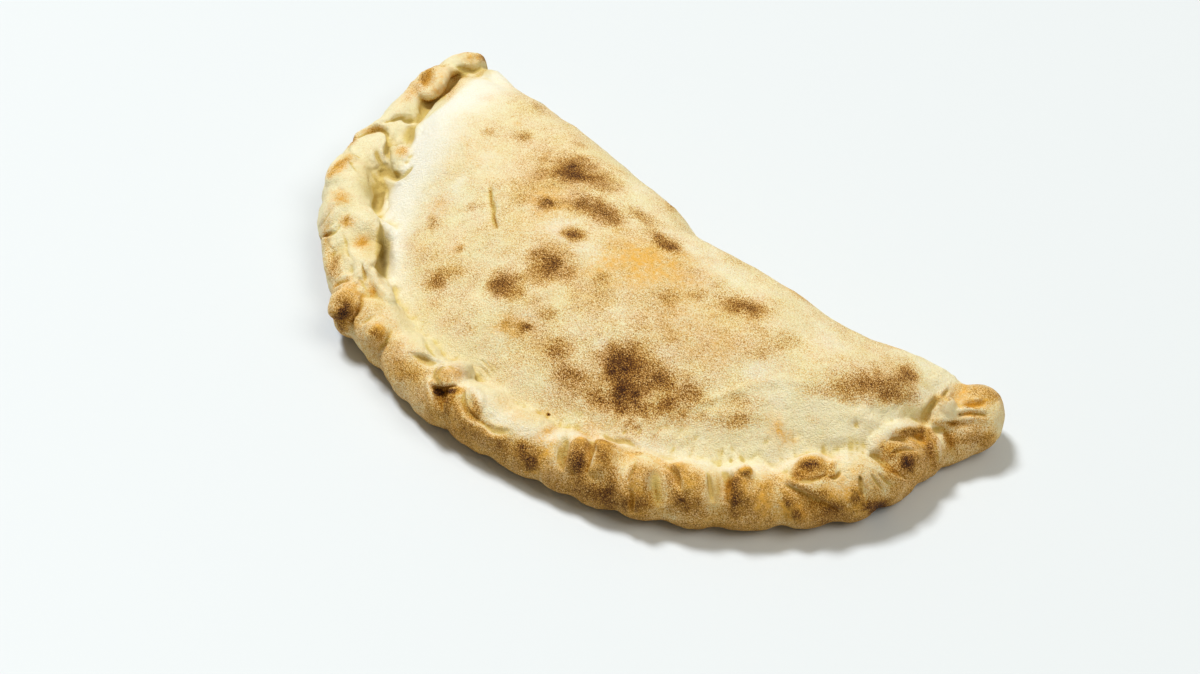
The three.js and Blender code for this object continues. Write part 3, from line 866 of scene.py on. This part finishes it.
def near_line(pixels, width, points, dough):
    """Which points lie close to a line seen in the photograph, and how close, from 0 to 1.

    The line fades towards its ends, but not to nothing.
    """
    path = rounded(dough.seen_at(pixels), 3)
    reach = np.ptp(path, axis=0).max() + 3 * width
    near = np.nonzero(np.linalg.norm(points - path.mean(0), axis=1) < reach)[0]
    away, share, _ = follow(path, points[near].T)
    fade = taper(np.clip(share, 0.03, 0.97), 0.8)
    return near, fade * bell(away / width)


def crease_shade(points, dough):
    """How much painted shade each point gets in a crease or the slit, from 0 to 1."""
    shade = np.zeros(len(points))
    for pixels, width, depth in [*CREASES, SLIT]:
        bottom = 0.3 * width + 0.2
        darkness = min(0.3 + depth / 5, 0.95)
        near, close = near_line(pixels, bottom, points, dough)
        shade[near] = np.maximum(shade[near], darkness * close)
    return shade


def stroked(points, dough):
    """How strongly the lines of browning, and the pale lines that are partly painted highlight, mark
    each point.
    """
    total = np.zeros(len(points))
    for pixels, width, strength in STROKES:
        near, close = near_line(pixels, 1.2 * width, points, dough)
        total[near] += strength * close
    return total


def back_spots(points, ripple):
    """Browned spots at seeded places on the back of the fold, which the photograph doesn't show."""
    rng = np.random.default_rng(17)
    total = np.zeros(len(points))
    for _ in range(BACK_SPOTS):
        x, z = rng.uniform(-BACK_REACH, BACK_REACH), rng.uniform(*BACK_HEIGHTS)
        radius, strength = rng.uniform(*BACK_RADII), rng.uniform(*BACK_STRENGTHS)
        beside = points[(abs(points[:, 0] - x) < 2) & (abs(points[:, 2] - z) < 2)]
        centre = beside[np.argmax(beside[:, 1])]
        stretched = (points - centre) / (1.5 * radius, radius, radius)
        reach = np.linalg.norm(stretched, axis=1) + 0.5 * ripple
        total = np.maximum(total, strength * smooth_step(*SOFT_EDGE, reach))
    return total


# ---- Browning, orange, painted shade and flour of each vertex ----

# These lists hold values at shares of the seam's length, from the left tip to the right tip.
# How far in from the seam the top sheet stays pale, in millimetres, and how much paler it is there.
PALE_REACH = [
    (0, 20), (0.12, 22), (0.18, 20), (0.25, 13), (0.3, 10), (0.38, 13), (0.45, 15), (0.6, 17), (1, 19),
]
# Toward the right tip the extra paleness is painted light on the sheet's shaded trough.
PALENESS = [(0.35, 0.2), (0.6, 0.1), (0.75, 0.16)]

# How browned the roll is.
ROLL_BAKE = [
    (0, 0.1), (0.1, 0.01), (0.25, 0), (0.35, 0.06), (0.42, 0.18), (0.6, 0.25), (0.9, 0.24), (1, 0.17),
]

# How floury the pale part of the top sheet is, and how much yellow-olive tint it gets, partly the
# dough's own yellow and partly painted shade.
SHEET_FLOUR = [(0, 0.7), (0.06, 1), (0.28, 1), (0.38, 0.3), (0.6, 0.12), (0.8, 0.1), (1, 0.1)]
SHEET_TINT_AND_SHADE = [(0, 0), (0.3, 0), (0.38, 0.25), (0.52, 0.14), (0.7, 0.05), (1, 0.03)]

FRONT_START = 0.42  # where the left rim turns into the front of the roll
FRONT_CREST = (0.4, 0.5, 0.85, 0.95)  # the band whose crest is pale with flour and painted highlight
SEAM_DUST = (-4, 0, 2, 7)  # the band of flour on the seam, in millimetres in from it

# Shares of browning.
SHEET_BAKE = 0.145
UNDERSIDE_BAKE = 0.5
PALEST = 0.02
# The crest's paleness is partly a painted highlight.
CREST_PALENESS = 0.32
LOW_DOWN_DARKENING = 1.45  # how much darker the browned stretches of the roll get near the floor
MARK_STRENGTH = 1.2  # all soft marks together
GOLDEN_ROLL = 0.28  # the share of orange of the roll


class Surface:
    """The crust's vertices: where they lie, how the dough bends there, and noise over them."""

    def __init__(self, mesh, dough):
        points = vertices_of(mesh).astype(float) / MM
        here = dough.sample(points)

        def above(radius):
            """How far the surface stands out of itself blurred: positive on ridges."""
            return dough.sample(points, blurred(dough.field, radius)) - here

        self.dough = dough
        self.points = points
        self.facing_down = smooth_step(-0.1, -0.7, dough.normal(points, 0.8)[:, 2])
        self.convex = above(1.8)
        self.fine_convex = above(1.2)
        self.sunk = -above(3.0)

        self.broad = layered_noise(points, 34, seed=5)
        self.patchy = layered_noise(points, 14, seed=11)
        self.freckled = layered_noise(points, 5, seed=81)
        self.ripple = layered_noise(points, 9, seed=21, layers=4)
        self.ragged = self.ripple + 0.7 * layered_noise(points, 2.6, seed=71)

        self.inward, self.share = seam_coordinates(points, dough)
        self.top = smooth_step(-2, 3, self.inward)
        margin = np.maximum(self.inward, 0) / along(PALE_REACH, self.share)
        self.pale = np.exp(-(margin**3))
        self.crest = smooth_step(-7, -1, self.inward) * plateau(self.share, *FRONT_CREST)
        self.strokes = stroked(points, dough) * (1 + 0.4 * self.ragged)


def sheet_browning(s):
    """How browned the top sheet is, with its pale margin along the seam."""
    uneven = 0.07 * s.broad + 0.1 * s.patchy + 0.05 * s.ripple + 0.06 * s.freckled
    return SHEET_BAKE + uneven - along(PALENESS, s.share) * s.pale


def roll_browning(s):
    """How browned the roll is: more on its ridges, darker low down, and paler along its crest, partly as
    painted highlight.
    """
    base = along(ROLL_BAKE, s.share)
    ridge = np.clip(s.convex / 0.35, 0, 1.2)
    browned = base * (1 + 0.25 * s.broad + 0.6 * s.patchy + 0.5 * ridge + 0.5 * s.ripple)
    browned += np.where(s.share > FRONT_START, 0.1, 0.04) * s.patchy + 0.05 * s.broad
    low_down = smooth_step(26, 10, s.points[:, 2] + 4 * s.patchy)
    browned += LOW_DOWN_DARKENING * np.maximum(base - 0.1, 0) * low_down
    return browned - CREST_PALENESS * s.crest


def browning_and_highlight(s):
    """Each vertex's share of browning, made paler by painted highlights along lit fold edges and at two
    pale marks.
    """
    roll = roll_browning(s)
    bake_and_highlight = np.maximum(roll + (sheet_browning(s) - roll) * s.top, PALEST)
    bake_and_highlight += s.facing_down * (UNDERSIDE_BAKE + 0.12 * s.patchy - bake_and_highlight)
    freckles = 1 + 0.3 * point_noise(s.points, 4, seed=61)
    bake_and_highlight += MARK_STRENGTH * marked(MARKS, s, s.ragged) * freckles
    bake_and_highlight += marked(CRISP_MARKS, s, 0.4 * s.ragged, CRISP_EDGE)
    bake_and_highlight += back_spots(s.points, s.ragged)
    # Negative strokes lighten the lit fold edges: painted highlight.
    return np.maximum(bake_and_highlight + s.strokes, PALEST)


def orange(s, bake_and_highlight):
    """Each vertex's share of orange, which the scorch hides."""
    golden_roll = GOLDEN_ROLL * (1 - s.top) * smooth_step(0.26, 0.38, s.share)
    glow = np.maximum(0.15 * s.patchy, 0) + golden_roll + marked(GLOWS, s, s.ragged)
    hidden = 0.8 - 0.2 * s.top
    return glow * smooth_step(hidden, hidden - 0.3, bake_and_highlight)


def painted_shade_and_tint(s):
    """Each vertex's share of painted shade in the hollows, creases and shaded zones, and of tint in the
    pale margin.
    """
    # The pale margin's yellow-olive tint is partly the dough's own yellow and partly painted shade.
    margin = s.pale * along(SHEET_TINT_AND_SHADE, s.share) * s.top
    # Painted shade: tight hollows everywhere, and the wide hollows of the left rim, darken to olive.
    pinch_shade = 0.6 * smooth_step(0.05, 0.5, -s.fine_convex)
    hollow_shade = 0.7 * smooth_step(0.2, 1.6, s.sunk) * smooth_step(0.5, FRONT_START, s.share)
    return np.max([margin, pinch_shade, hollow_shade, crease_shade(s.points, s.dough), marked(SHADES, s, s.ripple)], 0)


def flour_and_highlight_share(s):
    """Each vertex's share of flour and painted highlight."""
    roll = 1 - s.top
    # The roll's crest gets a pale share here that is partly a painted highlight.
    flour_and_highlight = s.pale * along(SHEET_FLOUR, s.share) * s.top + 0.35 * s.crest * roll
    flour_and_highlight += 0.14 * plateau(s.inward, *SEAM_DUST) * smooth_step(0.46, 0.52, s.share)
    # The fine lips of the rim get flour that is partly a painted highlight.
    lip = smooth_step(0.08, 0.5, s.fine_convex)
    flour_and_highlight += 0.12 * lip * smooth_step(0.06, 0.13, s.share) * roll
    dusted = 0.35 * smooth_step(0.2, 0.8, -s.patchy) * (0.3 + 0.7 * s.top)
    # Pale strokes along lit fold edges add painted highlight.
    return flour_and_highlight + dusted * (1 - flour_and_highlight) - 0.6 * s.strokes


def paint(mesh, dough):
    """Gives each vertex its shares of browning, orange, painted shade and flour, with painted highlights
    in the browning and flour.
    """
    surface = Surface(mesh, dough)
    bake_and_highlight = browning_and_highlight(surface)
    shares = {
        "bake_and_highlight": bake_and_highlight,
        "glow": orange(surface, bake_and_highlight),
        "painted_shade": painted_shade_and_tint(surface),
        "flour_and_highlight": flour_and_highlight_share(surface),
    }
    for name, amount in shares.items():
        layer = mesh.attributes.new(name, "FLOAT", "POINT")
        layer.data.foreach_set("value", np.clip(amount, 0, 1).astype(np.float32))


# ---- The piece ----

ADAPTIVITY = 0.036  # how far flat stretches of the mesh are thinned out


def build_crust(dough):
    """The calzone's mesh, resting on the floor."""
    points, faces = dough.mesh(ADAPTIVITY)
    points[:, 2] = np.maximum(points[:, 2], 0)
    mesh = bpy.data.meshes.new("calzone_crust")
    mesh.from_pydata((points * MM).tolist(), [], faces)
    mesh.validate()
    mesh.shade_smooth()
    crust = bpy.data.objects.new("calzone_crust", mesh)
    bpy.context.collection.objects.link(crust)
    return crust


class Nodes:
    """Adds nodes to a material, each given by its type, its settings and what feeds its inputs."""

    def __init__(self, material):
        material.use_nodes = True
        self.tree = material.node_tree
        self.shader = self.tree.nodes["Principled BSDF"]
        self.place = self.add("TexCoord", 3)

    def feed(self, socket, value):
        """Links another node's output to a socket, or sets the socket to a constant."""
        if isinstance(value, bpy.types.NodeSocket):
            self.tree.links.new(value, socket)
        else:
            socket.default_value = value

    def add(self, kind, output=0, settings=None, **inputs):
        """A new node's output. Inputs go by their names, or by their numbers as _0, _1 and so on."""
        node = self.tree.nodes.new("ShaderNode" + kind)
        for name, value in (settings or {}).items():
            setattr(node, name, value)
        for name, value in inputs.items():
            key = int(name[1:]) if name[1:].isdigit() else name
            self.feed(node.inputs[key], value)
        return node.outputs[output]

    def attribute(self, name):
        """One of the vertices' shares."""
        return self.add("Attribute", "Fac", {"attribute_name": name})

    def noise(self, scale, detail=2.0, roughness=0.5):
        """Noise from 0 to 1 whose features are 1/scale metres across."""
        return self.add("TexNoise", Vector=self.place, Scale=scale, Detail=detail, Roughness=roughness)

    def spread(self, noise, low, high):
        """Maps a noise from its usual 0.3 to 0.7 on to low to high."""
        return self.add("MapRange", 0, {"clamp": False}, _0=noise, _1=0.3, _2=0.7, _3=low, _4=high)

    def fade(self, value, start, end, first, last):
        """The first value up to the start, the last from the end on, and a straight line between."""
        return self.add("MapRange", 0, {"clamp": True}, _0=value, _1=start, _2=end, _3=first, _4=last)

    def math(self, operation, a, b, clamp=False):
        """A sum, product or the like of two values, kept from 0 to 1 if clamped."""
        return self.add("Math", 0, {"operation": operation, "use_clamp": clamp}, _0=a, _1=b)

    def mix(self, share, a, b, blend="MIX"):
        """The colour a with a share of b mixed in."""
        return self.add("Mix", 2, {"data_type": "RGBA", "blend_type": blend}, _0=share, _6=a, _7=b)

    def ramp(self, value, stops):
        """A colour ramp with its colours at places from 0 to 1."""
        node = self.tree.nodes.new("ShaderNodeValToRGB")
        elements = node.color_ramp.elements
        while len(elements) < len(stops):
            elements.new(0.5)
        for element, (place, colour) in zip(elements, stops):
            element.position = place
            element.color = (*colour, 1)
        self.feed(node.inputs[0], value)
        return node.outputs[0]


# Linear colours of the dough as it bakes, from raw-looking cream to char: where it bakes yellow,
# and where it bakes pink.
YELLOW_STOPS = [
    (0.0, (0.93, 0.86, 0.55)),
    (0.12, (0.86, 0.74, 0.39)),
    (0.25, (0.83, 0.63, 0.27)),
    (0.4, (0.70, 0.41, 0.10)),
    (0.55, (0.42, 0.188, 0.030)),
    (0.7, (0.22, 0.086, 0.012)),
    (0.85, (0.11, 0.034, 0.007)),
    (1.0, (0.03, 0.010, 0.004)),
]
PINK_STOPS = [
    (0.0, (0.93, 0.85, 0.57)),
    (0.12, (0.87, 0.71, 0.42)),
    (0.25, (0.82, 0.58, 0.30)),
    (0.4, (0.66, 0.375, 0.12)),
    (0.55, (0.39, 0.185, 0.036)),
    (0.7, (0.21, 0.092, 0.018)),
    (0.85, (0.10, 0.034, 0.008)),
    (1.0, (0.03, 0.010, 0.004)),
]
ORANGE = (0.87, 0.46, 0.06, 1)
# The cream of flour, also used for painted highlights.
FLOUR_AND_HIGHLIGHT = (0.97, 0.95, 0.84, 1)

# What the crust's colour is multiplied by as its painted shade deepens in hollows, creases and the seam
# margin.
SHADE_STOPS = [
    (0.0, (1.0, 1.0, 1.0)),
    (0.5, (0.81, 0.70, 0.38)),
    (1.0, (0.42, 0.30, 0.08)),
]

# Light that enters the crust: how much, how far in metres, and its red, green and blue.
SUBSURFACE = {
    "Subsurface Weight": 0.05,
    "Subsurface Scale": 0.004,
    "Subsurface Radius": (1.0, 0.55, 0.25),
}
SHINE = 0.15
BUMP_STRENGTH = 0.8
BUMP_HEIGHT = 0.001


def baked_colour(nodes, bake_and_highlight, flour_and_highlight):
    """The colour of the browning, with blotches, and with a sandy grain where it isn't floury."""
    blotch = nodes.spread(nodes.noise(170, 4), -0.05, 0.05)
    grain = nodes.spread(nodes.noise(1200, 2), -0.06, 0.06)
    sand = nodes.spread(nodes.noise(2400, 1), -0.21, 0.21)
    depth = nodes.fade(bake_and_highlight, 0.0, 0.22, 0.35, 1.3)
    bare = nodes.fade(flour_and_highlight, 0.2, 0.9, 1.0, 0.1)
    depth = nodes.math("MULTIPLY", depth, bare)
    speckle = nodes.math("MULTIPLY", nodes.math("ADD", grain, sand), depth)
    amount = nodes.math("ADD", nodes.math("ADD", bake_and_highlight, blotch), speckle)
    pinkness = nodes.spread(nodes.noise(90, 3), 0.0, 1.0)
    return nodes.mix(pinkness, nodes.ramp(amount, YELLOW_STOPS), nodes.ramp(amount, PINK_STOPS))


def glowing(nodes, colour):
    """The colour with its orange patches."""
    patch = nodes.spread(nodes.noise(400, 3), 0.2, 1.2)
    share = nodes.math("MULTIPLY", nodes.attribute("glow"), patch, clamp=True)
    return nodes.mix(nodes.math("MULTIPLY", share, 0.9), colour, ORANGE)


def floured(nodes, colour, bake_and_highlight, flour_and_highlight):
    """The colour under its dust of flour and painted highlight, which is thin where the dough is
    browned.
    """
    uneven = nodes.spread(nodes.noise(1500, 2, 0.6), -0.3, 0.25)
    dust = nodes.math("ADD", uneven, nodes.math("MULTIPLY", flour_and_highlight, 0.9))
    thin = nodes.fade(bake_and_highlight, 0.15, 0.42, 1.0, 0.05)
    share = nodes.math("MULTIPLY", nodes.math("MAXIMUM", dust, 0.0), thin, clamp=True)
    return nodes.mix(share, colour, FLOUR_AND_HIGHLIGHT)


def crust_material():
    """Baked dough: browning with a sandy grain, orange patches, dusty flour, painted highlight and
    shade, and fine pits.
    """
    material = bpy.data.materials.new("baked_crust")
    nodes = Nodes(material)
    bake_and_highlight = nodes.attribute("bake_and_highlight")
    flour_and_highlight = nodes.attribute("flour_and_highlight")
    # Painted shade: the hollows, creases and seam margin are darkened to olive.
    shade = nodes.ramp(nodes.attribute("painted_shade"), SHADE_STOPS)
    colour = glowing(nodes, baked_colour(nodes, bake_and_highlight, flour_and_highlight))
    colour = nodes.mix(1.0, floured(nodes, colour, bake_and_highlight, flour_and_highlight), shade, "MULTIPLY")
    pits = nodes.math("ADD", nodes.noise(700, 4, 0.65), nodes.noise(2300, 2))
    looks = {
        "Base Color": colour,
        "Roughness": nodes.spread(nodes.noise(500), 0.72, 0.9),
        "Specular IOR Level": SHINE,
        "Normal": nodes.add("Bump", Strength=BUMP_STRENGTH, Distance=BUMP_HEIGHT, Height=pits),
        **SUBSURFACE,
    }
    for name, value in looks.items():
        nodes.feed(nodes.shader.inputs[name], value)
    return material


# ---- Stage, in metres and watts ----

FLOOR_REACH = 6.0
FLOOR_COLOUR = (0.68, 0.72, 0.75, 1)
FLOOR_ROUGHNESS = 0.6

# Lights: how far to the left of the picture, away from the camera and up, the side, the power and
# the colour.
LIGHTS = {
    "key": ((1.9, 1.8, 5.0), 1.2, 290, (0.97, 0.985, 1.0)),
    "fill": ((-2.2, -1.2, 3.8), 2.6, 78, (1.0, 0.965, 0.88)),
}
SKY_COLOUR = (1.0, 0.94, 0.76, 1)
SKY_STRENGTH = 0.24

NEAREST_SEEN = 0.05
FARTHEST_SEEN = 50


def build_floor():
    """A plain pale floor under the calzone."""
    mesh = bpy.data.meshes.new("floor")
    far = FLOOR_REACH
    corners = [(-far, -far, 0), (far, -far, 0), (far, far, 0), (-far, far, 0)]
    mesh.from_pydata(corners, [], [(0, 1, 2, 3)])
    floor = bpy.data.objects.new("floor", mesh)
    bpy.context.collection.objects.link(floor)
    material = bpy.data.materials.new("pale_floor")
    material.use_nodes = True
    shader = material.node_tree.nodes["Principled BSDF"]
    shader.inputs["Base Color"].default_value = FLOOR_COLOUR
    shader.inputs["Roughness"].default_value = FLOOR_ROUGHNESS
    mesh.materials.append(material)


def add_light(name, place, side, watts, colour):
    """A square soft light that faces the calzone."""
    data = bpy.data.lights.new(name, "AREA")
    data.shape = "SQUARE"
    data.size = side
    data.energy = watts
    data.color = colour
    light = bpy.data.objects.new(name, data)
    light.location = place
    light.rotation_euler = (-Vector(place)).to_track_quat("-Z", "Y").to_euler()
    bpy.context.collection.objects.link(light)


def build_lights():
    """Soft studio lights, and an even warm light from all round."""
    for name, ((left, away, up), side, watts, colour) in LIGHTS.items():
        place = -left * LEVEL_RIGHT + away * LEVEL_AHEAD + (0, 0, up)
        add_light(name, place, side, watts, colour)
    world = bpy.data.worlds.new("studio")
    world.use_nodes = True
    background = world.node_tree.nodes["Background"]
    background.inputs["Color"].default_value = SKY_COLOUR
    background.inputs["Strength"].default_value = SKY_STRENGTH
    bpy.context.scene.world = world


def build_camera():
    """The photograph's camera."""
    data = bpy.data.cameras.new("camera")
    data.lens = LENS_MM
    data.sensor_width = SENSOR_MM
    data.sensor_fit = "HORIZONTAL"
    data.clip_start = NEAREST_SEEN
    data.clip_end = FARTHEST_SEEN
    camera = bpy.data.objects.new("camera", data)
    turn = Matrix((RIGHT, UP, -FORWARD)).transposed()
    camera.matrix_world = Matrix.Translation(EYE * MM) @ turn.to_4x4()
    bpy.context.collection.objects.link(camera)
    bpy.context.scene.camera = camera


# ---- Scene ----

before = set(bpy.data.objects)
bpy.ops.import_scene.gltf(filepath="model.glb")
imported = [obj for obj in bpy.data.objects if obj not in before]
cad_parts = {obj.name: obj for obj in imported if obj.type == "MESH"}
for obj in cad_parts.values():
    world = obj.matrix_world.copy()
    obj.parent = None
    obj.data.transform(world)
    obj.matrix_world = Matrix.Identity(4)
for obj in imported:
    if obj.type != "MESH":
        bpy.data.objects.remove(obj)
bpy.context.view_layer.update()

build_camera()
build_lights()
build_floor()

dough = shape_dough()
crust = build_crust(dough)
paint(crust.data, dough)
crust.data.materials.append(crust_material())
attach(crust, "root")
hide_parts("calzone")

bpy.context.scene.view_settings.view_transform = "Standard"
